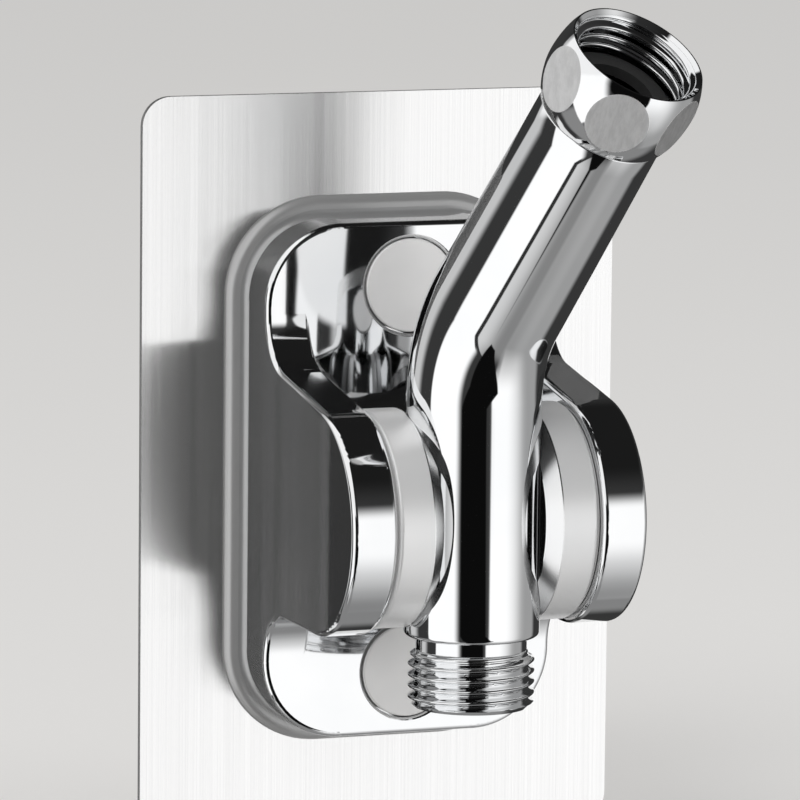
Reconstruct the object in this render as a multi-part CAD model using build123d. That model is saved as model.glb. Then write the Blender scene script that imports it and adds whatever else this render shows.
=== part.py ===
"""Shower elbow on a tilting wall bracket.

Millimetres. X runs to the right, Y into the wall and Z up. The origin is on the wall, behind the middle of
the plate, so everything lies at negative Y. "Reach" below is the distance in front of the wall.
"""
import os
from math import cos, degrees, radians, sin, tan

from build123d import *

# Wall plate and adhesive sheet
PLATE_WIDTH = 85.0
PLATE_HEIGHT = 128.0
PLATE_THICKNESS = 1.2
PLATE_CORNER = 5.0
ADHESIVE_THICKNESS = 0.8
ADHESIVE_INSET = 1.5

# Base of the bracket
BASE_HEIGHT = 87.0
BASE_DEPTH = 15.1
BASE_CORNER = 13.5
BASE_FLARE = 1.1
BASE_WALL = 3.0
FOOT_RIM = 2.1
FOOT_HEIGHT = 1.8
FOOT_STEP = 0.1
BRACKET_EDGE = 0.9

# Ears of the bracket and the tilt axis
EAR_THICKNESS = 7.8
EAR_RADIUS = 18.95
EAR_SLOPE = 10.0
EAR_ROOT_ABOVE = 9.0
EAR_ROOT_BELOW = 8.5
HINGE_FROM_PLATE = 39.2
HINGE_Z = -2.4

# Fixings under the round caps
FIXING_FROM_END = 10.75
CAP_DIAMETER = 15.8
CAP_GAP = 0.25
CAP_FACE = 2.0
CAP_ROOM = 0.8
CAP_SKIRT = 1.2
CAP_EDGE = 0.3
CAP_HOLE_CHAMFER = 0.5
BOSS_WALL = 2.0
STUD_DIAMETER = 5.0
STUD_GAP = 0.25
STUD_PROUD = 1.3
WASHER_DIAMETER = 10.0
WASHER_THICKNESS = 1.0
STUD_NUT_FLATS = 8.0
STUD_NUT_HEIGHT = 4.0

# Tilting hub
HUB_RADIUS = 18.1
HUB_DISC_THICKNESS = 8.4
HUB_DISC_EDGE = 0.7
HUB_LIP = 2.3
HUB_BEVEL = 2.2
HUB_WEB_RADIUS = 15.5
PIVOT_DIAMETER = 9.0
PIVOT_IN_HUB = 4.5
PIVOT_IN_EAR = 4.5
PIVOT_GAP = 0.05
PIVOT_END_ROOM = 0.4
FRICTION_WASHER_THICKNESS = 0.5
FRICTION_WASHER_GAP = 0.1
FRICTION_WASHER_INSET = 0.9

# Elbow tube
TUBE_DIAMETER = 22.4
TUBE_BORE = 12.5
TUBE_AHEAD_OF_HINGE = 5.6
TUBE_SEAT_GAP = 0.05
SHOULDER_Z = -21.6
SHOULDER_EDGE = 0.8
THREAD_DIAMETER = 20.955
THREAD_LENGTH = 9.6
THREAD_END_EDGE = 1.0
THREAD_NECK_DIAMETER = 18.4
THREAD_NECK_LENGTH = 2.2
BEND_CORNER_Z = 26.6
BEND_RADIUS = 27.5
ARM_TILT = 36.7
ARM_TURN = 21.5
ARM_LENGTH = 62.7
ARM_END_DIAMETER = 21.2

# Swivel stop: a screw whose dog point runs in a part groove on the tube's back
SWIVEL_HALF_RANGE = 30.0
STOP_SCREW_DIAMETER = 4.0
STOP_DOG_DIAMETER = 2.5
STOP_DOG_LENGTH = 1.6
STOP_DOG_GAP = 0.2
STOP_GROOVE_DEPTH = 1.6
STOP_SCREW_INSET = 0.5

# Union nut on the upper end of the tube
NUT_LENGTH = 13.2
NUT_FLATS = 23.3
NUT_TURN = 19.0
NUT_BELLY_DIAMETER = 25.3
NUT_MOUTH_END_DIAMETER = 22.6
NUT_TUBE_END_DIAMETER = 21.9
NUT_FLARE_DIAMETER = 22.1
NUT_THREAD_DIAMETER = 20.955
NUT_RELIEF_DIAMETER = 21.4
NUT_LIP = 2.2
NUT_TUBE_GAP = 0.3
NUT_LIP_GAP = 0.1
NECK_DIAMETER = 16.0
NECK_ABOVE_RING = 0.6
RING_DIAMETER = 18.4
RING_THICKNESS = 1.0
RING_GROOVE_DIAMETER = 14.0
RING_LIFT = 0.2
SEAL_DIAMETER = 18.2
SEAL_THICKNESS = 1.8

# Places worked out from the sizes above
PLATE_FRONT = ADHESIVE_THICKNESS + PLATE_THICKNESS
BASE_FRONT = PLATE_FRONT + BASE_DEPTH
STUD_STACK = WASHER_THICKNESS + STUD_NUT_HEIGHT + STUD_PROUD
SEAT_FRONT = BASE_FRONT - CAP_FACE - CAP_ROOM - STUD_STACK
FIXING_Z = BASE_HEIGHT / 2 - FIXING_FROM_END
HINGE_REACH = PLATE_FRONT + HINGE_FROM_PLATE
TUBE_REACH = HINGE_REACH + TUBE_AHEAD_OF_HINGE
HUB_MOUTH = TUBE_DIAMETER - 2 * HUB_LIP
HUB_HALF = HUB_MOUTH / 2 + HUB_DISC_THICKNESS
EAR_INNER = HUB_HALF + FRICTION_WASHER_THICKNESS + FRICTION_WASHER_GAP
EAR_OUTER = EAR_INNER + EAR_THICKNESS
BASE_WIDTH = 2 * EAR_OUTER
TUBE_RADIUS = TUBE_DIAMETER / 2
CAP_HOLE_RADIUS = CAP_DIAMETER / 2 + CAP_GAP
STUD_HOLE_RADIUS = STUD_DIAMETER / 2 + STUD_GAP
THREAD_END_Z = SHOULDER_Z - THREAD_NECK_LENGTH - THREAD_LENGTH
PIVOT_RADIUS = PIVOT_DIAMETER / 2
BEND_LENGTH = BEND_RADIUS * tan(radians(ARM_TILT / 2))
BEND_START_Z = BEND_CORNER_Z - BEND_LENGTH
NUT_BACK = ARM_LENGTH - NUT_LENGTH
ARM_END = NUT_BACK - NUT_TUBE_GAP
RING_BACK = NUT_BACK + NUT_LIP + RING_LIFT
NECK_END = RING_BACK + RING_THICKNESS + NECK_ABOVE_RING


def facing_front(reach, x=0.0, z=0.0):
    """Plane at a reach from the wall, seen from the front: local x right, local y up."""
    return Plane(origin=(x, -reach, z), x_dir=(1, 0, 0), z_dir=(0, -1, 0))


def facing_side(x):
    """Plane across the part at x: local x is the reach, local y is the height, normal to the left."""
    return Plane(origin=(x, 0, 0), x_dir=(0, -1, 0), z_dir=(-1, 0, 0))


def round_bar(plane, radius, length):
    """Solid cylinder that starts on a plane and runs along its normal."""
    return extrude(plane * Circle(radius), length)


def ring(plane, outer, inner, length):
    """Round washer or sleeve that starts on a plane."""
    return extrude(plane * (Circle(outer) - Circle(inner)), length)


def rounded_slab(plane, width, height, corner, depth):
    """Slab with round corners that starts on a plane."""
    return extrude(plane * RectangleRounded(width, height, corner), depth)


def adhesive_sheet():
    width = PLATE_WIDTH - 2 * ADHESIVE_INSET
    height = PLATE_HEIGHT - 2 * ADHESIVE_INSET
    return rounded_slab(facing_front(0), width, height, PLATE_CORNER - ADHESIVE_INSET, ADHESIVE_THICKNESS)


def wall_plate():
    back = facing_front(ADHESIVE_THICKNESS)
    return rounded_slab(back, PLATE_WIDTH, PLATE_HEIGHT, PLATE_CORNER, PLATE_THICKNESS)


def ear_outline():
    """Side view of one ear: a round end on a root that slopes down from the base and sweeps out of it."""
    slope = radians(EAR_SLOPE)
    bottom = HINGE_Z - EAR_RADIUS
    back = BASE_FRONT - BASE_WALL
    crown = (HINGE_REACH + EAR_RADIUS * sin(slope), HINGE_Z + EAR_RADIUS * cos(slope))
    sweep_end_reach = BASE_FRONT + EAR_ROOT_ABOVE * (1 - sin(slope))
    sweep_end = (sweep_end_reach, crown[1] + (crown[0] - sweep_end_reach) * tan(slope))
    sweep_top = sweep_end[1] + EAR_ROOT_ABOVE * cos(slope)
    foot = bottom - EAR_ROOT_BELOW
    outline = [
        Line((back, foot), (back, sweep_top)),
        Line((back, sweep_top), (BASE_FRONT, sweep_top)),
        TangentArc((BASE_FRONT, sweep_top), sweep_end, tangent=(0, -1)),
        Line(sweep_end, crown),
        ThreePointArc(crown, (HINGE_REACH + EAR_RADIUS, HINGE_Z), (HINGE_REACH, bottom)),
        Line((HINGE_REACH, bottom), (BASE_FRONT + EAR_ROOT_BELOW, bottom)),
        TangentArc((BASE_FRONT + EAR_ROOT_BELOW, bottom), (BASE_FRONT, foot), tangent=(-1, 0)),
        Line((BASE_FRONT, foot), (back, foot)),
    ]
    return make_face(outline)


def ear(side):
    """One ear, with its long edges rounded and a blind bore for the pivot pin."""
    right_face = EAR_OUTER if side > 0 else -EAR_INNER
    body = extrude(facing_side(right_face) * ear_outline(), EAR_THICKNESS)
    long_edges = [
        edge
        for edge in body.edges()
        if abs(edge.center().X - edge.start_point().X) < 0.01 and -edge.center().Y > BASE_FRONT + 0.1
    ]
    body = fillet(long_edges, BRACKET_EDGE)
    bore_plane = Plane(origin=(side * EAR_INNER, -HINGE_REACH, HINGE_Z), z_dir=(side, 0, 0))
    return body - round_bar(bore_plane, PIVOT_RADIUS + PIVOT_GAP, PIVOT_IN_EAR + PIVOT_END_ROOM)


def bracket_body():
    """One moulding: a hollow base with a round-edged foot, two bosses for the fixings and two ears."""
    back = facing_front(PLATE_FRONT)
    back_outline = RectangleRounded(BASE_WIDTH, BASE_HEIGHT + 2 * BASE_FLARE, BASE_CORNER + BASE_FLARE)
    front_outline = RectangleRounded(BASE_WIDTH, BASE_HEIGHT, BASE_CORNER)
    base = loft([back * back_outline, facing_front(BASE_FRONT) * front_outline])
    front_face = base.faces().sort_by(Axis.Y)[0]
    base = fillet(front_face.edges(), BRACKET_EDGE)
    hollow = rounded_slab(
        back,
        BASE_WIDTH - 2 * BASE_WALL,
        BASE_HEIGHT - 2 * BASE_WALL,
        BASE_CORNER - BASE_WALL,
        BASE_DEPTH - BASE_WALL,
    )
    foot = rounded_slab(
        back,
        BASE_WIDTH + 2 * FOOT_RIM,
        BASE_HEIGHT + 2 * (BASE_FLARE + FOOT_RIM),
        BASE_CORNER + BASE_FLARE + FOOT_RIM,
        FOOT_HEIGHT,
    )
    foot = fillet(foot.faces().sort_by(Axis.Y)[0].edges(), FOOT_HEIGHT - FOOT_STEP)
    body = base + foot - hollow
    hole_mouth = Cone(
        CAP_HOLE_RADIUS,
        CAP_HOLE_RADIUS + CAP_HOLE_CHAMFER,
        CAP_HOLE_CHAMFER,
        align=(Align.CENTER, Align.CENTER, Align.MIN),
    )
    for z in (FIXING_Z, -FIXING_Z):
        boss = round_bar(facing_front(PLATE_FRONT, z=z), CAP_HOLE_RADIUS + BOSS_WALL, BASE_DEPTH - BASE_WALL)
        body += boss & base
        body -= round_bar(facing_front(SEAT_FRONT, z=z), CAP_HOLE_RADIUS, BASE_DEPTH)
        body -= round_bar(facing_front(PLATE_FRONT, z=z), STUD_HOLE_RADIUS, BASE_DEPTH)
        body -= facing_front(BASE_FRONT - CAP_HOLE_CHAMFER, z=z) * hole_mouth
    return body + ear(-1) + ear(1)


def stud(z):
    return round_bar(facing_front(PLATE_FRONT, z=z), STUD_DIAMETER / 2, SEAT_FRONT + STUD_STACK - PLATE_FRONT)


def stud_washer(z):
    return ring(facing_front(SEAT_FRONT, z=z), WASHER_DIAMETER / 2, STUD_HOLE_RADIUS, WASHER_THICKNESS)


def stud_nut(z):
    hexagon = RegularPolygon(STUD_NUT_FLATS / 2, 6, major_radius=False) - Circle(STUD_DIAMETER / 2)
    return extrude(facing_front(SEAT_FRONT + WASHER_THICKNESS, z=z) * hexagon, STUD_NUT_HEIGHT)


def cap(z):
    """Cup-shaped cover that stands on the seat of the fixing hole, level with the base's front."""
    seat = facing_front(SEAT_FRONT, z=z)
    radius = CAP_DIAMETER / 2
    height = BASE_FRONT - SEAT_FRONT
    body = round_bar(seat, radius, height)
    body = fillet(body.faces().sort_by(Axis.Y)[0].edges(), CAP_EDGE)
    return body - round_bar(seat, radius - CAP_SKIRT, height - CAP_FACE)


def along_hinge(x, side=1):
    """Plane across the tilt axis at x, with its normal to the right or, for side -1, to the left."""
    return Plane(origin=(x, -HINGE_REACH, HINGE_Z), z_dir=(side, 0, 0))


def hub_disc(side):
    """Disc with a rounded rim at the ear and a bevelled rim at the hub's mouth."""
    face = HUB_MOUTH / 2
    disc = round_bar(along_hinge(side * face, side), HUB_RADIUS, HUB_DISC_THICKNESS)
    rims = disc.edges().filter_by(GeomType.CIRCLE).sort_by(Axis.X)
    disc = fillet(rims[-1] if side > 0 else rims[0], HUB_DISC_EDGE)
    rims = disc.edges().filter_by(GeomType.CIRCLE).sort_by(Axis.X)
    disc = chamfer(rims[0] if side > 0 else rims[-1], HUB_BEVEL)
    return disc - round_bar(along_hinge(side * (HUB_HALF - PIVOT_IN_HUB), side), PIVOT_RADIUS, PIVOT_IN_HUB)


def hub():
    """Two discs joined behind the tube by a web, with a C-shaped seat for the tube."""
    web_half = HUB_MOUTH / 2 + HUB_DISC_EDGE
    web = round_bar(along_hinge(-web_half), HUB_WEB_RADIUS, 2 * web_half)
    web_back = facing_front(HINGE_REACH - HUB_WEB_RADIUS, z=HINGE_Z)
    tall = 4 * HUB_RADIUS
    mouth = Pos(0, -TUBE_REACH - HUB_RADIUS, HINGE_Z) * Box(HUB_MOUTH, 2 * HUB_RADIUS, tall)
    seat = Pos(0, -TUBE_REACH, HINGE_Z) * Cylinder(TUBE_RADIUS + TUBE_SEAT_GAP, tall)
    screw_hole = round_bar(web_back, STOP_SCREW_DIAMETER / 2, HUB_RADIUS)
    return hub_disc(-1) + hub_disc(1) + web - mouth - seat - screw_hole


def pivot_pin(side):
    start = side * (HUB_HALF - PIVOT_IN_HUB)
    length = EAR_INNER + PIVOT_IN_EAR - HUB_HALF + PIVOT_IN_HUB
    pin = round_bar(along_hinge(start, side), PIVOT_RADIUS, length)
    return chamfer(pin.edges().filter_by(GeomType.CIRCLE), PIVOT_END_ROOM)


def friction_washer(side):
    disc_face = along_hinge(side * HUB_HALF, side)
    outer = HUB_RADIUS - FRICTION_WASHER_INSET
    return ring(disc_face, outer, PIVOT_RADIUS + PIVOT_GAP, FRICTION_WASHER_THICKNESS)


def stop_screw():
    """Headless screw in the hub's web, with a dog point that reaches into the tube's groove."""
    shank_start = HINGE_REACH - HUB_WEB_RADIUS + STOP_SCREW_INSET
    shank_end = TUBE_REACH - TUBE_RADIUS - TUBE_SEAT_GAP - STOP_DOG_GAP
    shank = round_bar(facing_front(shank_start, z=HINGE_Z), STOP_SCREW_DIAMETER / 2, shank_end - shank_start)
    return shank + round_bar(facing_front(shank_end, z=HINGE_Z), STOP_DOG_DIAMETER / 2, STOP_DOG_LENGTH)


def on_tube(shape):
    """Move a shape from the tube's own frame (upright part on Z, arm towards -Y) to its place in the hub."""
    return Pos(0, -TUBE_REACH, 0) * Rot(0, 0, ARM_TURN) * shape


def arm_plane(along):
    """Plane across the arm in the tube's own frame, a distance along it from the corner, facing its end."""
    tilt = radians(ARM_TILT)
    direction = (0, -sin(tilt), cos(tilt))
    return Plane(
        origin=(0, -along * sin(tilt), BEND_CORNER_Z + along * cos(tilt)), x_dir=(1, 0, 0), z_dir=direction
    )


def bend(radius):
    """Curved part of a round bar between the upright and the arm."""
    axis = Axis((0, -BEND_RADIUS, BEND_START_Z), (1, 0, 0))
    return revolve(Plane.XY.offset(BEND_START_Z) * Circle(radius), axis, ARM_TILT)


def stop_groove():
    """Part ring cut on the back of the tube, as long as the swivel."""
    floor = TUBE_RADIUS - STOP_GROOVE_DEPTH
    dog_reach = STOP_DOG_DIAMETER / 2 + STOP_DOG_GAP
    spread = SWIVEL_HALF_RANGE + degrees(dog_reach / floor)
    section = Pos((floor + TUBE_DIAMETER) / 2, HINGE_Z) * Rectangle(TUBE_DIAMETER - floor, 2 * dog_reach)
    return Rot(0, 0, 90 - spread) * revolve(Plane.XZ * section, Axis.Z, 2 * spread)


def elbow_tube():
    """Bent tube: hose thread, upright, bend, tapering arm and a neck for the nut, with one bore through."""
    upright = round_bar(Plane.XY.offset(SHOULDER_Z), TUBE_RADIUS, BEND_START_Z - SHOULDER_Z)
    upright = fillet(upright.edges().sort_by(Axis.Z)[0], SHOULDER_EDGE)
    thread = round_bar(Plane.XY.offset(THREAD_END_Z), THREAD_DIAMETER / 2, THREAD_LENGTH)
    thread = chamfer(thread.edges().sort_by(Axis.Z)[0], THREAD_END_EDGE)
    thread_top = Plane.XY.offset(THREAD_END_Z + THREAD_LENGTH)
    neck_below = round_bar(thread_top, THREAD_NECK_DIAMETER / 2, THREAD_NECK_LENGTH)
    arm_start = arm_plane(BEND_LENGTH) * Circle(TUBE_RADIUS)
    arm = loft([arm_start, arm_plane(ARM_END) * Circle(ARM_END_DIAMETER / 2)])
    neck_above = round_bar(arm_plane(ARM_END), NECK_DIAMETER / 2, NECK_END - ARM_END)
    ring_groove = ring(arm_plane(RING_BACK), NECK_DIAMETER, RING_GROOVE_DIAMETER / 2, RING_THICKNESS)
    body = thread + neck_below + upright + bend(TUBE_RADIUS) + arm + neck_above - ring_groove
    bore = TUBE_BORE / 2
    water_way = round_bar(Plane.XY.offset(THREAD_END_Z), bore, BEND_START_Z - THREAD_END_Z) + bend(bore)
    water_way += round_bar(arm_plane(BEND_LENGTH), bore, NECK_END - BEND_LENGTH)
    return on_tube(body - water_way - stop_groove())


def retaining_ring():
    return on_tube(ring(arm_plane(RING_BACK), RING_DIAMETER / 2, RING_GROOVE_DIAMETER / 2, RING_THICKNESS))


def sealing_washer():
    return on_tube(ring(arm_plane(NECK_END), SEAL_DIAMETER / 2, TUBE_BORE / 2, SEAL_THICKNESS))


def union_nut():
    """Barrel-shaped nut with six flats, a threaded mouth and a lip that turns on the tube's neck."""
    tube_end = NUT_TUBE_END_DIAMETER / 2
    mouth_end = NUT_MOUTH_END_DIAMETER / 2
    outline = [
        Line((0, 0), (tube_end, 0)),
        ThreePointArc((tube_end, 0), (NUT_BELLY_DIAMETER / 2, NUT_LENGTH / 2), (mouth_end, NUT_LENGTH)),
        Line((mouth_end, NUT_LENGTH), (0, NUT_LENGTH)),
        Line((0, NUT_LENGTH), (0, 0)),
    ]
    barrel = revolve(Plane.XZ * make_face(outline), Axis.Z)
    flats = extrude(RegularPolygon(NUT_FLATS / 2, 6, major_radius=False, rotation=NUT_TURN), NUT_LENGTH)
    thread_radius = NUT_THREAD_DIAMETER / 2
    thread_start = NECK_END + SEAL_THICKNESS - NUT_BACK
    flare = (NUT_FLARE_DIAMETER - NUT_THREAD_DIAMETER) / 2
    lip_hole = round_bar(Plane.XY, NECK_DIAMETER / 2 + NUT_LIP_GAP, NUT_LENGTH)
    relief = round_bar(Plane.XY.offset(NUT_LIP), NUT_RELIEF_DIAMETER / 2, thread_start - NUT_LIP)
    thread = round_bar(Plane.XY.offset(thread_start), thread_radius, NUT_LENGTH - thread_start)
    mouth = Pos(0, 0, NUT_LENGTH - flare / 2) * Cone(thread_radius, NUT_FLARE_DIAMETER / 2, flare)
    nut = (barrel & flats) - lip_hole - relief - thread - mouth
    return on_tube(arm_plane(NUT_BACK).location * nut)


def nodes():
    """Every piece under its name."""
    pieces = {
        "adhesive_sheet": adhesive_sheet(),
        "wall_plate": wall_plate(),
        "bracket_body": bracket_body(),
        "hub": hub(),
        "swivel_stop_screw": stop_screw(),
        "elbow_tube": elbow_tube(),
        "union_nut": union_nut(),
        "retaining_ring": retaining_ring(),
        "sealing_washer": sealing_washer(),
    }
    for place, z in (("upper", FIXING_Z), ("lower", -FIXING_Z)):
        pieces[f"{place}_stud"] = stud(z)
        pieces[f"{place}_stud_washer"] = stud_washer(z)
        pieces[f"{place}_stud_nut"] = stud_nut(z)
        pieces[f"{place}_cap"] = cap(z)
    for place, side in (("left", -1), ("right", 1)):
        pieces[f"{place}_pivot_pin"] = pivot_pin(side)
        pieces[f"{place}_friction_washer"] = friction_washer(side)
    return pieces


os.makedirs("parts", exist_ok=True)
for name, shape in nodes().items():
    export_step(shape, f"parts/{name}.step")
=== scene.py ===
"""Looks of a chrome shower elbow on a tilting wall bracket.

Metres, in the part's own frame: X runs right, Y into the wall and Z up, with the origin on the
wall behind the middle of the plate. Sizes of the part are written in millimetres and scaled once.
"""
from math import cos, degrees, pi, radians, sin, tan

import bmesh
import bpy
from mathutils import Matrix, Vector


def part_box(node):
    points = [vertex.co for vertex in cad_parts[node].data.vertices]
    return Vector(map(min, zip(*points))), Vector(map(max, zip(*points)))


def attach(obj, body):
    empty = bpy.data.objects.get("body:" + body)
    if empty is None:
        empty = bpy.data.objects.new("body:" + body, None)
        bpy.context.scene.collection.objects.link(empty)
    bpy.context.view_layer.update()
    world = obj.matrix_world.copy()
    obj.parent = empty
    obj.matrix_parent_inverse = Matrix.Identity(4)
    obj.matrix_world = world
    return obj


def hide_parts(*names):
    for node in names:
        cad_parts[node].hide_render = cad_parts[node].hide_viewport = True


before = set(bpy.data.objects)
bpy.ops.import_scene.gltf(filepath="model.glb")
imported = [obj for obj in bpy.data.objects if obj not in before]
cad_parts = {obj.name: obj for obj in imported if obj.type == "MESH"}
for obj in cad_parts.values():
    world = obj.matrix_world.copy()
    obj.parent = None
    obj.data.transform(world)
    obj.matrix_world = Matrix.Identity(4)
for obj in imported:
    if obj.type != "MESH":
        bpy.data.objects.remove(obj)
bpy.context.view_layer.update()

MM = 0.001

# Elbow tube, in millimetres
TUBE_REACH = 46.8
TUBE_RADIUS = 11.2
BORE_RADIUS = 6.25
SHOULDER_Z = -21.6
SHOULDER_EDGE = 0.8
HOSE_THREAD_RADIUS = 10.4775
HOSE_THREAD_LENGTH = 9.6
HOSE_THREAD_CHAMFER = 1.0
HOSE_NECK_RADIUS = 9.2
HOSE_NECK_LENGTH = 2.2
HOSE_NECK_STEP = 0.1
BEND_CORNER_Z = 26.6
BEND_RADIUS = 27.5
ARM_TILT = radians(36.7)
ARM_TURN = radians(21.5)
ARM_END = 49.2
ARM_END_RADIUS = 10.6
ARM_END_EDGE = 0.25
NECK_RADIUS = 8.0
NECK_END = 53.5
RING_BACK = 51.9
RING_THICKNESS = 1.0
RING_GROOVE_RADIUS = 7.0
STOP_GROOVE_Z = -2.4
STOP_GROOVE_HALF = 1.45
STOP_GROOVE_FLOOR = 9.6
STOP_GROOVE_SPREAD = radians(38.7)

# Pipe thread of the hose end and of the union nut, in millimetres
THREAD_PITCH = 1.814
THREAD_DEPTH = 1.162
THREAD_RUN_OUT = 1.2
THREAD_FULLNESS = 0.8
NUT_THREAD_START = 55.3
NUT_THREAD_END = 62.13
NUT_THREAD_WALL = 10.6
NUT_THREAD_INSET = 0.03

BEND_LENGTH = BEND_RADIUS * tan(ARM_TILT / 2)
BEND_START_Z = BEND_CORNER_Z - BEND_LENGTH
HOSE_THREAD_END_Z = SHOULDER_Z - HOSE_NECK_LENGTH - HOSE_THREAD_LENGTH
HOSE_THREAD_TOP_Z = HOSE_THREAD_END_Z + HOSE_THREAD_LENGTH
TUBE_PLACE = Matrix.Translation((0, -TUBE_REACH * MM, 0)) @ Matrix.Rotation(ARM_TURN, 4, "Z")

# Points round each ring of the tube's skin, rings along each stretch of it, and its sharp edges
RING_SEGMENTS = 144
HOSE_THREAD_RINGS = 110
HOSE_NECK_RINGS = 4
SHOULDER_RINGS = 7
BELOW_GROOVE_RINGS = 6
ABOVE_GROOVE_RINGS = 8
BEND_RINGS = 30
ARM_RINGS = 14
ARM_END_RINGS = 5
BORE_RINGS = 6
BORE_BEND_RINGS = 16
NUT_THREAD_RINGS = 90
SHARP_ANGLE = radians(40)

# Where the paints change, in millimetres: the union nut's flats, the mouth and bevel of the hub
# round its tilt axis, and the front of the round-edged foot of the bracket's base
NUT_MIDDLE = 56.1
NUT_TURN = radians(19.0)
NUT_FLAT = 11.65
NUT_FLAT_EDGE = (0.06, 0.02)
HINGE_Y = -41.2
HINGE_Z = -2.4
HUB_MOUTH_HALF = 8.9
HUB_MOUTH_EDGE = (0.02, 0.12)
HUB_BEVEL_RADIUS = 15.9
HUB_BEVEL_EDGE = (0.15, 0.30)
FOOT_FRONT_Y = -3.8
FOOT_EDGE = 0.05

# Share of a noise's range over which one tone of a paint turns into the other
TONES = (0.3, 0.7)
LINE_TONES = (0.25, 0.75)

# Camera, in radians, metres and pixels of a square picture; sensor in millimetres
VIEW_AZIMUTH = radians(-20.55)
VIEW_ELEVATION = radians(8.05)
VIEW_ROLL = radians(0.57)
VIEW_TARGET = Vector((-0.01115, -0.0420, 0.01719))
VIEW_DISTANCE = 1.1
VIEW_CLIP = (0.05, 200.0)
FOCAL_PIXELS = 6710
FRAME_PIXELS = 800
SENSOR_WIDTH = 36.0

# Studio: floor, sky and tent, in metres, and lamps with their place and size in metres and power
FLOOR_HALF = 40.0
FLOOR_COLOUR = (0.84, 0.83, 0.815, 1)
FLOOR_DARKENING = 0.985
SKY_COLOUR = (0.80, 0.80, 0.80, 1)
SKY_STRENGTH = 0.85
TENT_RADIUS = 6.0
TENT_BASE = 0.04
LAMPS = (
    ("key", (-0.9, -1.0, 1.3), 0.9, 8.0),
    ("fill", (1.1, -0.8, 0.7), 0.9, 3.0),
)

# Surroundings that the polished metal mirrors, each laid over the ones before it: azimuth from
# the front to the right with the soft edge at each side, elevation with the soft edge at each
# end, both in degrees, and brightness
TENT_PANELS = (
    ("ground", ((-180, 180), (0, 0)), ((-90, -60), (1, 14)), 0.25),
    ("far left wall", ((-150, -134), (4, 14)), ((-12, 30), (8, 8)), 0.60),
    ("far left strip", ((-152, -141), (3, 3)), ((-52, -28), (5, 5)), 0.85),
    ("left ground", ((-124, -100), (8, 8)), ((-60, -27), (6, 6)), 0.26),
    ("right wall", ((18, 100), (14, 12)), ((-64, 6), (8, 10)), 0.36),
    ("right ground", ((20, 50), (6, 34)), ((-46, -10), (22, 10)), 0.66),
    ("right panel", ((11, 34), (4, 40)), ((-22, 6), (30, 16)), 1.14),
    ("left panel", ((-97, -52), (3, 12)), ((-41, 27), (3, 5)), 1.14),
    ("gap under the left panel", ((-85, -52), (6, 6)), ((-44.5, -42.5), (1, 1)), 0.03),
    ("ground by the left panel", ((-78, -58), (8, 50)), ((-52, -46), (22, 1)), 0.70),
    ("front ceiling", ((-28, 12), (10, 5)), ((4, 60), (14, 10)), 0.03),
)

# Panels laid over the tent's dark side and its roof, and the elevations where the roof sets in
HIGH_PANELS = (("upper left panel", ((-140, -30), (10, 6)), ((13, 70), (5, 10)), 1.0),)
ROOF = (18, 46)
ROOF_LIGHT = 0.012

# Dark side of the tent, where the camera stands: its left and right limits near the horizon and
# how far both lie to the right below it, where the right one then curves in to the foot
DARK_SIDES = (-41.0, 0.5)
DARK_SHIFTS = (9.0, 18.5)
DARK_SHIFT_HEIGHTS = (-8.3, -22.0)
DARK_CURVE = 0.022
DARK_CURVE_TOP = -20.0
DARK_HEIGHTS = (-58.0, 2.0)
DARK_EDGES = (1.5, 14.0)
DARK_LIGHT = 0.004


class Value:
    """An output socket that takes part in Python expressions; each operator adds a Math node."""

    def __init__(self, paint, socket):
        self.paint = paint
        self.socket = socket

    def math(self, operation, *others):
        sockets = dict(enumerate((self, *others)))
        return self.paint.node("ShaderNodeMath", {"operation": operation}, sockets)

    def reflected(self, operation, other):
        return self.paint.node("ShaderNodeMath", {"operation": operation}, {0: other, 1: self})

    def __add__(self, other):
        return self.math("ADD", other)

    def __radd__(self, other):
        return self.reflected("ADD", other)

    def __sub__(self, other):
        return self.math("SUBTRACT", other)

    def __rsub__(self, other):
        return self.reflected("SUBTRACT", other)

    def __mul__(self, other):
        return self.math("MULTIPLY", other)

    def __rmul__(self, other):
        return self.reflected("MULTIPLY", other)

    def __truediv__(self, other):
        return self.math("DIVIDE", other)

    def __rtruediv__(self, other):
        return self.reflected("DIVIDE", other)

    def rise(self, start, end):
        """Smooth step from 0 at start to 1 at end."""
        limits = {"From Min": start, "From Max": end, "Value": self}
        settings = {"interpolation_type": "SMOOTHSTEP"}
        return self.paint.node("ShaderNodeMapRange", settings, limits)

    def within(self, low, high, low_edge, high_edge):
        """1 between two limits, with a soft edge outside each."""
        return self.rise(low - low_edge, low) * (1 - self.rise(high, high + high_edge))


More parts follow.
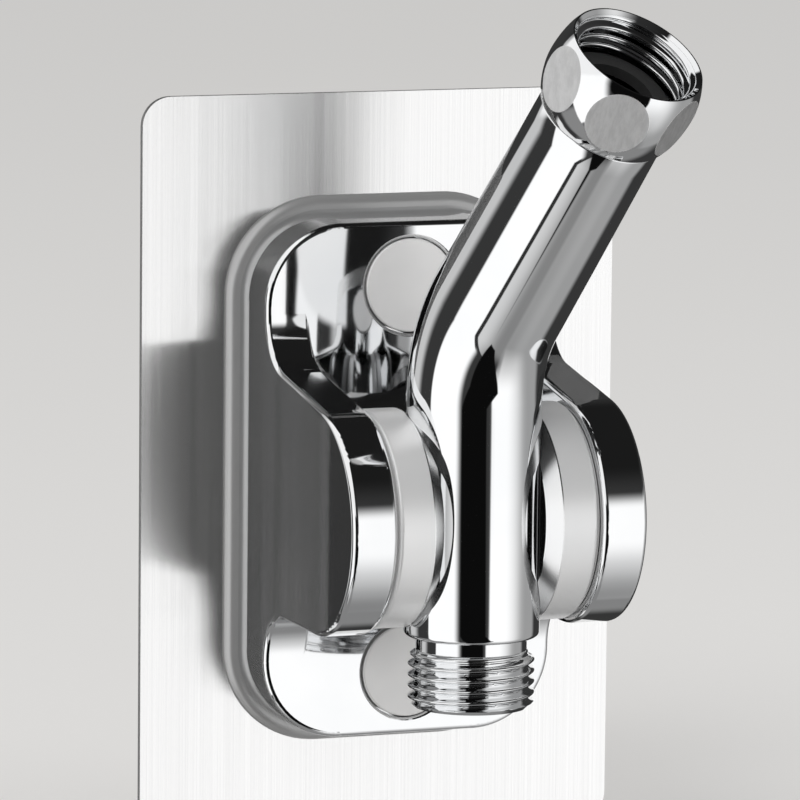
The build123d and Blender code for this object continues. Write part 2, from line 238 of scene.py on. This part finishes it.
class Paint:
    """A node tree that is written as expressions."""

    def __init__(self, tree):
        self.tree = tree
        tree.nodes.clear()

    def node(self, kind, settings=None, sockets=None, out=0):
        """Adds any node: its settings first, then the values or links of its sockets."""
        made = self.tree.nodes.new(kind)
        for name, setting in (settings or {}).items():
            setattr(made, name, setting)
        for name, given in (sockets or {}).items():
            if isinstance(given, Value):
                self.tree.links.new(given.socket, made.inputs[name])
            else:
                made.inputs[name].default_value = given
        return Value(self, made.outputs[out]) if made.outputs else made

    def place(self):
        """Point on the piece, in metres in the part's frame."""
        return self.node("ShaderNodeTexCoord", out="Object")

    def dot(self, vector, direction):
        settings = {"operation": "DOT_PRODUCT"}
        return self.node("ShaderNodeVectorMath", settings, {0: vector, 1: direction}, "Value")

    def axis(self, vector, index):
        return self.node("ShaderNodeSeparateXYZ", None, {0: vector}, index)

    def noise(self, vector, scale, detail, roughness=0.5, stretch=None):
        """Noise from 0 to 1; stretch scales each axis first."""
        if stretch:
            settings = {"operation": "MULTIPLY"}
            vector = self.node("ShaderNodeVectorMath", settings, {0: vector, 1: stretch})
        sockets = {"Vector": vector, "Scale": scale, "Detail": detail, "Roughness": roughness}
        return self.node("ShaderNodeTexNoise", None, sockets)

    def blend(self, factor, first, second):
        """Colour between two colours."""
        settings = {"data_type": "RGBA"}
        return self.node("ShaderNodeMix", settings, {0: factor, 6: first, 7: second}, 2)

    def bump(self, height, distance):
        return self.node("ShaderNodeBump", None, {"Height": height, "Distance": distance})

    def surface(self, shader):
        self.node("ShaderNodeOutputMaterial", None, {"Surface": shader})

    def principled(self, **sockets):
        """Principled surface; an underscore in a name stands for a space."""
        named = {name.replace("_", " "): given for name, given in sockets.items()}
        self.surface(self.node("ShaderNodeBsdfPrincipled", None, named))


def new_paint(name):
    material = bpy.data.materials.new(name)
    material.use_nodes = True
    return material, Paint(material.node_tree)


def grey(level, warmth=0.0):
    return (level * (1 + warmth), level, level * (1 - warmth), 1)


def nut_flats(paint, place):
    """Mask of the union nut's six flats, by their distance from the arm's line."""
    turn = TUBE_PLACE.to_3x3()
    middle, across = arm(NUT_MIDDLE)
    middle = TUBE_PLACE @ (middle * MM)
    reach = 0.0
    for face in range(3):
        angle = NUT_TURN + pi / 6 + face * pi / 3
        facing = turn @ (cos(angle) * Vector((1, 0, 0)) + sin(angle) * across)
        off_middle = paint.dot(place, facing) - middle.dot(facing)
        reach = off_middle.math("ABSOLUTE").math("MAXIMUM", reach)
    start, end = NUT_FLAT_EDGE
    return reach.rise((NUT_FLAT - start) * MM, (NUT_FLAT - end) * MM)


def mirror_plating(name, level, haze, ripple, foot_front=None):
    """Bright plating: the casting's faint ripple, a haze that comes and goes, fine wiping marks
    and, behind a given depth, a foot that is rougher and less metallic, with painted shade in its
    darker grey colour."""
    material, paint = new_paint(name)
    place = paint.place()
    patch = paint.noise(place, scale=55.0, detail=3.0)
    wiping = paint.noise(place, 6.0, 4.0, roughness=0.6, stretch=(420.0, 420.0, 60.0))
    waves = paint.noise(place, scale=130.0, detail=1.0)
    colour = paint.blend(patch.rise(*TONES), grey(level, -0.004), grey(level - 0.035, -0.010))
    metal = 1.0
    roughness = haze + 0.018 * wiping + 0.012 * patch
    if foot_front is not None:
        # Foot next to the wall plate: its darker grey colour is painted shade where the base
        # meets the plate, and it is also rougher and less metallic
        foot = paint.axis(place, "Y").rise((foot_front - FOOT_EDGE) * MM, foot_front * MM)
        colour = paint.blend(foot, colour, grey(0.50))
        metal = 1.0 - 0.45 * foot
        roughness = roughness + 0.30 * foot
    paint.principled(
        Base_Color=colour,
        Metallic=metal,
        Roughness=roughness,
        Normal=paint.bump(waves, distance=ripple * MM),
    )
    return material


def nut_plating(name, level, haze):
    """Bright plating of the nut, with ground flats that are duller and scratched."""
    material, paint = new_paint(name)
    place = paint.place()
    flats = nut_flats(paint, place)
    patch = paint.noise(place, scale=90.0, detail=3.0)
    scratches = paint.noise(place, 1.0, 5.0, roughness=0.7, stretch=(1500.0, 500.0, 300.0))
    dull = paint.blend(scratches.rise(*TONES), grey(0.84), grey(0.98))
    bright = paint.blend(patch.rise(*TONES), grey(level, -0.004), grey(level - 0.04, -0.010))
    paint.principled(
        Base_Color=paint.blend(flats, bright, dull),
        Metallic=1.0 - 0.15 * flats,
        Roughness=haze + 0.02 * patch + flats * (0.30 + 0.15 * scratches),
        Normal=paint.bump(flats * scratches, distance=0.003 * MM),
    )
    return material


def hub_plating(name, level, haze):
    """Hub's plating: satin on the turned discs, with fine lines round X, less so on the bevel of
    its mouth, and polished inside the mouth."""
    material, paint = new_paint(name)
    place = paint.place()
    off_middle = paint.axis(place, "X").math("ABSOLUTE")
    ahead = paint.axis(place, "Y") - HINGE_Y * MM
    above = paint.axis(place, "Z") - HINGE_Z * MM
    reach = (ahead * ahead + above * above).math("SQRT")
    off_bevel = off_middle - reach - (HUB_MOUTH_HALF - HUB_BEVEL_RADIUS) * MM
    outside = off_middle.rise(*((HUB_MOUTH_HALF + edge) * MM for edge in HUB_MOUTH_EDGE))
    satin = outside * off_bevel.rise(*(edge * MM for edge in HUB_BEVEL_EDGE))
    bevel = outside * (1.0 - satin)
    grain = paint.noise(place, 1.0, 3.0, stretch=(2600.0, 160.0, 160.0))
    patch = paint.noise(place, scale=70.0, detail=2.0)
    paint.principled(
        Base_Color=paint.blend(patch.rise(*TONES), grey(level), grey(level - 0.03, -0.006)),
        Metallic=1.0 - 0.6 * satin,
        Roughness=0.05 + satin * (haze + 0.06 * grain) + 0.2 * bevel,
        Normal=paint.bump(grain * satin, distance=0.0004 * MM),
    )
    return material


def capped_face(name, level):
    """Flat polished cap: even grey with hairline scratches."""
    material, paint = new_paint(name)
    place = paint.place()
    scratches = paint.noise(place, 2.5, 5.0, roughness=0.7, stretch=(900.0, 900.0, 90.0))
    patch = paint.noise(place, scale=120.0, detail=2.0)
    paint.principled(
        Base_Color=paint.blend(patch.rise(*TONES), grey(level, 0.006), grey(level - 0.03, 0.004)),
        Metallic=0.25,
        Roughness=0.32 + 0.10 * scratches,
        Normal=paint.bump(scratches, distance=0.001 * MM),
    )
    return material


def brushed_sheet(name):
    """Sheet brushed up and down: upright hairlines of two widths in tone, gloss and height."""
    material, paint = new_paint(name)
    place = paint.place()
    fine = paint.noise(place, 1.0, 3.0, roughness=0.65, stretch=(5200.0, 5200.0, 14.0))
    broad = paint.noise(place, 1.0, 4.0, roughness=0.6, stretch=(650.0, 650.0, 6.0))
    lines = 0.6 * fine + 0.4 * broad
    paint.principled(
        Base_Color=paint.blend(lines.rise(*LINE_TONES), grey(0.88, 0.002), grey(1.0, 0.002)),
        Metallic=0.88,
        Roughness=0.09 + 0.10 * broad,
        Anisotropic=1.0,
        Normal=paint.bump(lines, distance=0.003 * MM),
    )
    return material


def plain_steel(name):
    """Plain fastener steel with a fine drawn grain."""
    material, paint = new_paint(name)
    grain = paint.noise(paint.place(), 2.0, 4.0, stretch=(800.0, 300.0, 800.0))
    paint.principled(
        Base_Color=paint.blend(grain, grey(0.46), grey(0.60)),
        Metallic=1.0,
        Roughness=0.28 + 0.2 * grain,
        Normal=paint.bump(grain, distance=0.004 * MM),
    )
    return material


def soft_sheet(name, dark, pale, pores, depth, roughness):
    """Rubber, washer plastic or foam: a matt body with pores."""
    material, paint = new_paint(name)
    place = paint.place()
    grain = paint.noise(place, pores, detail=4.0, roughness=0.65)
    cloud = paint.noise(place, pores / 20, detail=2.0)
    paint.principled(
        Base_Color=paint.blend(0.6 * grain + 0.4 * cloud, dark, pale),
        Roughness=roughness + 0.1 * grain,
        Normal=paint.bump(grain, distance=depth * MM),
    )
    return material


def dark_side(azimuth, elevation):
    """Mask of the tent's dark side."""
    top, bottom = DARK_SHIFT_HEIGHTS
    below = ((top - elevation) / (top - bottom)).math("MAXIMUM", 0.0).math("MINIMUM", 1.0)
    left = DARK_SIDES[0] + DARK_SHIFTS[0] * below
    foot = (DARK_CURVE_TOP - elevation).math("MAXIMUM", 0.0)
    right = DARK_SIDES[1] + DARK_SHIFTS[1] * below - DARK_CURVE * foot * foot
    edge, top_edge = DARK_EDGES
    across = (azimuth - left).rise(-edge, edge) * (right - azimuth).rise(-edge, edge)
    return across * elevation.within(*DARK_HEIGHTS, edge, top_edge)


def with_panels(light, panels, azimuth, elevation):
    """Light of the tent with panels laid over it, each over those before it."""
    for _, (sides, side_edges), (heights, height_edges), brightness in panels:
        mask = elevation.within(*heights, *height_edges)
        if sides[1] - sides[0] < 360:
            mask = mask * azimuth.within(*sides, *side_edges)
        light = light + mask * (brightness - light)
    return light


def tent_paint(name):
    """Light tent with white panels and dark gaps, by direction from the part. It is only
    mirrored, so it isn't sampled as a lamp."""
    material, paint = new_paint(name)
    place = paint.node("ShaderNodeNewGeometry", out="Position")
    x = paint.axis(place, "X")
    y = paint.axis(place, "Y")
    level = (x * x + y * y).math("SQRT")
    azimuth = x.math("ARCTAN2", -1 * y) * degrees(1)
    elevation = paint.axis(place, "Z").math("ARCTAN2", level) * degrees(1)
    light = with_panels(TENT_BASE, TENT_PANELS, azimuth, elevation)
    light = light + dark_side(azimuth, elevation) * (DARK_LIGHT - light)
    light = light + elevation.rise(*ROOF) * (ROOF_LIGHT - light)
    light = with_panels(light, HIGH_PANELS, azimuth, elevation)
    paint.surface(paint.node("ShaderNodeEmission", None, {"Color": light}))
    material.cycles.emission_sampling = "NONE"
    return material


def floor_paint(name):
    """Matt floor with a faint cloud."""
    material, paint = new_paint(name)
    cloud = paint.noise(paint.place(), scale=3.0, detail=3.0)
    darker = tuple(FLOOR_DARKENING * c for c in FLOOR_COLOUR[:3]) + (1,)
    paint.principled(
        Base_Color=paint.blend(cloud, FLOOR_COLOUR, darker),
        Roughness=0.9,
        Specular_IOR_Level=0.0,
    )
    return material


def upright(z):
    """Middle of the tube and its across direction at a height, in the tube's own frame."""
    return Vector((0, 0, z)), Vector((0, 1, 0))


def bend(angle):
    """The same at an angle along the bend."""
    across = Vector((0, cos(angle), sin(angle)))
    return Vector((0, -BEND_RADIUS, BEND_START_Z)) + BEND_RADIUS * across, across


def arm(along):
    """The same on the arm, from the corner of the bend."""
    middle = Vector((0, -along * sin(ARM_TILT), BEND_CORNER_Z + along * cos(ARM_TILT)))
    return middle, Vector((0, cos(ARM_TILT), sin(ARM_TILT)))


def spread(start, end, count):
    return [start + (end - start) * i / (count - 1) for i in range(count)]


def ridge(along, turn):
    """Height of the thread's rounded ridge, from 0 in the root to 1 on the crest."""
    phase = (along / THREAD_PITCH - turn / (2 * pi)) % 1
    return (0.5 - 0.5 * cos(2 * pi * phase)) ** THREAD_FULLNESS


def hose_thread_radius(z):
    """Radius of the hose end at a height, as a function of the turn round the tube."""
    from_end = z - HOSE_THREAD_END_Z
    limit = HOSE_THREAD_RADIUS - max(0.0, HOSE_THREAD_CHAMFER - from_end)
    fade = min(1.0, (HOSE_THREAD_TOP_Z - z) / THREAD_RUN_OUT)
    root = HOSE_NECK_RADIUS + (HOSE_THREAD_RADIUS - THREAD_DEPTH - HOSE_NECK_RADIUS) * fade
    return lambda turn: min(limit, root + THREAD_DEPTH * fade * ridge(from_end, turn))


def stop_groove_radius(turn):
    """Radius of the tube at the stop screw's groove, which is cut round its back only."""
    from_back = abs(turn - pi / 2)
    return STOP_GROOVE_FLOOR if from_back < STOP_GROOVE_SPREAD else TUBE_RADIUS


def nut_thread_radius(along):
    """Radius of the nut's thread along the arm, as a function of the turn round the tube."""
    start_fade = min(1.0, (along - NUT_THREAD_START) / THREAD_RUN_OUT)
    end_fade = min(1.0, (NUT_THREAD_END - along) / THREAD_RUN_OUT)
    height = THREAD_DEPTH * max(0.0, min(start_fade, end_fade))
    root = HOSE_THREAD_RADIUS - NUT_THREAD_INSET
    return lambda turn: root - height * ridge(along - NUT_THREAD_START, turn)


def add_object(name, data):
    made = bpy.data.objects.new(name, data)
    bpy.context.scene.collection.objects.link(made)
    return made


def dress(piece, material):
    piece.data.materials.clear()
    piece.data.materials.append(material)


def ring_skin(name, stations):
    """Closed skin through rings round the tube's line; a radius may change with the turn."""
    side = Vector((1, 0, 0))
    turns = [2 * pi * k / RING_SEGMENTS for k in range(RING_SEGMENTS)]
    points = []
    for (middle, across), radius in stations:
        for turn in turns:
            reach = radius(turn) if callable(radius) else radius
            point = middle + reach * (cos(turn) * side + sin(turn) * across)
            points.append(TUBE_PLACE @ (point * MM))
    count = len(stations)
    faces = []
    for i in range(count):
        here = i * RING_SEGMENTS
        there = (i + 1) % count * RING_SEGMENTS
        for k in range(RING_SEGMENTS):
            following = (k + 1) % RING_SEGMENTS
            faces.append((here + k, here + following, there + following, there + k))
    mesh = bpy.data.meshes.new(name)
    mesh.from_pydata(points, [], faces)
    shape = bmesh.new()
    shape.from_mesh(mesh)
    bmesh.ops.recalc_face_normals(shape, faces=shape.faces)
    shape.to_mesh(mesh)
    shape.free()
    mesh.shade_smooth()
    mesh.set_sharp_from_angle(angle=SHARP_ANGLE)
    return add_object(name, mesh)


def threaded_tube():
    """Elbow tube with its hose thread cut: out along the skin and back down the bore."""
    stations = [(upright(HOSE_THREAD_END_Z), BORE_RADIUS)]
    heights = spread(HOSE_THREAD_END_Z, HOSE_THREAD_TOP_Z, HOSE_THREAD_RINGS)
    stations += [(upright(z), hose_thread_radius(z)) for z in heights]
    heights = spread(HOSE_THREAD_TOP_Z + HOSE_NECK_STEP, SHOULDER_Z, HOSE_NECK_RINGS)
    stations += [(upright(z), HOSE_NECK_RADIUS) for z in heights]
    for turned in spread(0, pi / 2, SHOULDER_RINGS):
        z = SHOULDER_Z + SHOULDER_EDGE * (1 - cos(turned))
        stations.append((upright(z), TUBE_RADIUS - SHOULDER_EDGE * (1 - sin(turned))))
    groove_low = STOP_GROOVE_Z - STOP_GROOVE_HALF
    groove_high = STOP_GROOVE_Z + STOP_GROOVE_HALF
    heights = spread(SHOULDER_Z + 2 * SHOULDER_EDGE, groove_low, BELOW_GROOVE_RINGS)
    stations += [(upright(z), TUBE_RADIUS) for z in heights]
    stations += [(upright(z), stop_groove_radius) for z in (groove_low, groove_high)]
    heights = spread(groove_high, BEND_START_Z, ABOVE_GROOVE_RINGS)
    stations += [(upright(z), TUBE_RADIUS) for z in heights]
    stations += [(bend(angle), TUBE_RADIUS) for angle in spread(0, ARM_TILT, BEND_RINGS)[1:]]
    taper = (ARM_END_RADIUS - TUBE_RADIUS) / (ARM_END - BEND_LENGTH)
    for along in spread(BEND_LENGTH, ARM_END - ARM_END_EDGE, ARM_RINGS)[1:]:
        stations.append((arm(along), TUBE_RADIUS + taper * (along - BEND_LENGTH)))
    for turned in spread(0, pi / 2, ARM_END_RINGS)[1:]:
        along = ARM_END - ARM_END_EDGE * (1 - sin(turned))
        stations.append((arm(along), ARM_END_RADIUS - ARM_END_EDGE * (1 - cos(turned))))
    ring_front = RING_BACK + RING_THICKNESS
    stations += [(arm(along), NECK_RADIUS) for along in (ARM_END, RING_BACK)]
    stations += [(arm(along), RING_GROOVE_RADIUS) for along in (RING_BACK, ring_front)]
    stations += [(arm(along), NECK_RADIUS) for along in (ring_front, NECK_END)]
    stations += [(arm(along), BORE_RADIUS) for along in spread(NECK_END, BEND_LENGTH, BORE_RINGS)]
    stations += [(bend(angle), BORE_RADIUS) for angle in spread(ARM_TILT, 0, BORE_BEND_RINGS)[1:]]
    heights = spread(BEND_START_Z, HOSE_THREAD_END_Z, BORE_RINGS)[1:-1]
    stations += [(upright(z), BORE_RADIUS) for z in heights]
    return ring_skin("threaded_elbow_tube", stations)


def nut_thread():
    """Thread inside the union nut's mouth, as a lining on its wall."""
    stretch = spread(NUT_THREAD_START, NUT_THREAD_END, NUT_THREAD_RINGS)
    stations = [(arm(along), nut_thread_radius(along)) for along in stretch]
    stations += [(arm(along), NUT_THREAD_WALL) for along in (NUT_THREAD_END, NUT_THREAD_START)]
    return ring_skin("nut_thread", stations)


def add_floor(height):
    square = ((-1, -1), (1, -1), (1, 1), (-1, 1))
    corners = [(x * FLOOR_HALF, y * FLOOR_HALF, height) for x, y in square]
    mesh = bpy.data.meshes.new("floor")
    mesh.from_pydata(corners, [], [(0, 1, 2, 3)])
    floor = add_object("floor", mesh)
    dress(floor, floor_paint("pale_floor"))
    floor.visible_glossy = False


def add_tent():
    """Light tent round the part, seen only in its polish."""
    mesh = bpy.data.meshes.new("tent")
    shape = bmesh.new()
    bmesh.ops.create_uvsphere(shape, u_segments=64, v_segments=32, radius=TENT_RADIUS)
    shape.to_mesh(mesh)
    shape.free()
    tent = add_object("tent", mesh)
    dress(tent, tent_paint("tent_panels"))
    tent.visible_camera = False
    tent.visible_diffuse = False
    tent.visible_shadow = False


def add_lamp(name, place, size, power):
    light = bpy.data.lights.new(name, "AREA")
    light.size = size
    light.energy = power
    lamp = add_object(name, light)
    lamp.location = place
    lamp.rotation_euler = (VIEW_TARGET - Vector(place)).to_track_quat("-Z", "Y").to_euler()
    lamp.visible_glossy = False


def add_sky():
    world = bpy.data.worlds.new("sky")
    world.use_nodes = True
    bpy.context.scene.world = world
    paint = Paint(world.node_tree)
    sockets = {"Color": SKY_COLOUR, "Strength": SKY_STRENGTH}
    light = paint.node("ShaderNodeBackground", None, sockets)
    paint.node("ShaderNodeOutputWorld", None, {"Surface": light})


def add_camera():
    azimuth, elevation = VIEW_AZIMUTH, VIEW_ELEVATION
    level = cos(elevation)
    back = Vector((sin(azimuth) * level, -cos(azimuth) * level, sin(elevation)))
    level_right = Vector((cos(azimuth), sin(azimuth), 0))
    level_up = back.cross(level_right)
    right = level_right * cos(VIEW_ROLL) + level_up * sin(VIEW_ROLL)
    up = level_up * cos(VIEW_ROLL) - level_right * sin(VIEW_ROLL)
    lens = bpy.data.cameras.new("camera")
    lens.sensor_width = SENSOR_WIDTH
    lens.lens = FOCAL_PIXELS / FRAME_PIXELS * SENSOR_WIDTH
    lens.clip_start, lens.clip_end = VIEW_CLIP
    camera = add_object("camera", lens)
    turn = Matrix((right, up, back)).transposed().to_4x4()
    camera.matrix_world = Matrix.Translation(VIEW_TARGET + VIEW_DISTANCE * back) @ turn
    bpy.context.scene.camera = camera


chrome = mirror_plating(
    "bracket_chrome", level=0.88, haze=0.030, ripple=0.0020, foot_front=FOOT_FRONT_Y
)
tube_chrome = mirror_plating("tube_chrome", level=0.90, haze=0.018, ripple=0.0008)
nut_chrome = nut_plating("nut_chrome", level=0.90, haze=0.020)
hub_chrome = hub_plating("hub_satin_chrome", level=0.88, haze=0.25)
cap_chrome = capped_face("cap_chrome", level=0.92)
plate_steel = brushed_sheet("brushed_plate")
steel = plain_steel("fastener_steel")
rubber = soft_sheet(
    "seal_rubber", grey(0.02), grey(0.05), pores=3000.0, depth=0.02, roughness=0.65
)
plastic = soft_sheet(
    "washer_plastic", grey(0.52), grey(0.62), pores=2500.0, depth=0.01, roughness=0.38
)
foam = soft_sheet(
    "adhesive_foam", grey(0.70, 0.01), grey(0.86, 0.012), pores=1600.0, depth=0.12, roughness=0.8
)

PAINTS = {
    "adhesive_sheet": foam,
    "wall_plate": plate_steel,
    "bracket_body": chrome,
    "hub": hub_chrome,
    "swivel_stop_screw": steel,
    "elbow_tube": tube_chrome,
    "union_nut": nut_chrome,
    "retaining_ring": steel,
    "sealing_washer": rubber,
}
for height in ("upper", "lower"):
    PAINTS[f"{height}_cap"] = cap_chrome
    for fixing in ("stud", "stud_washer", "stud_nut"):
        PAINTS[f"{height}_{fixing}"] = steel
for side in ("left", "right"):
    PAINTS[f"{side}_pivot_pin"] = steel
    PAINTS[f"{side}_friction_washer"] = plastic
for name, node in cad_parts.items():
    dress(node, PAINTS[name])

tube = threaded_tube()
dress(tube, tube_chrome)
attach(tube, "tube")
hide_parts("elbow_tube")

thread = nut_thread()
dress(thread, tube_chrome)
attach(thread, "nut")

add_floor(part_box("wall_plate")[0].z)
add_tent()
for lamp in LAMPS:
    add_lamp(*lamp)
add_sky()
add_camera()
bpy.context.scene.view_settings.view_transform = "Standard"
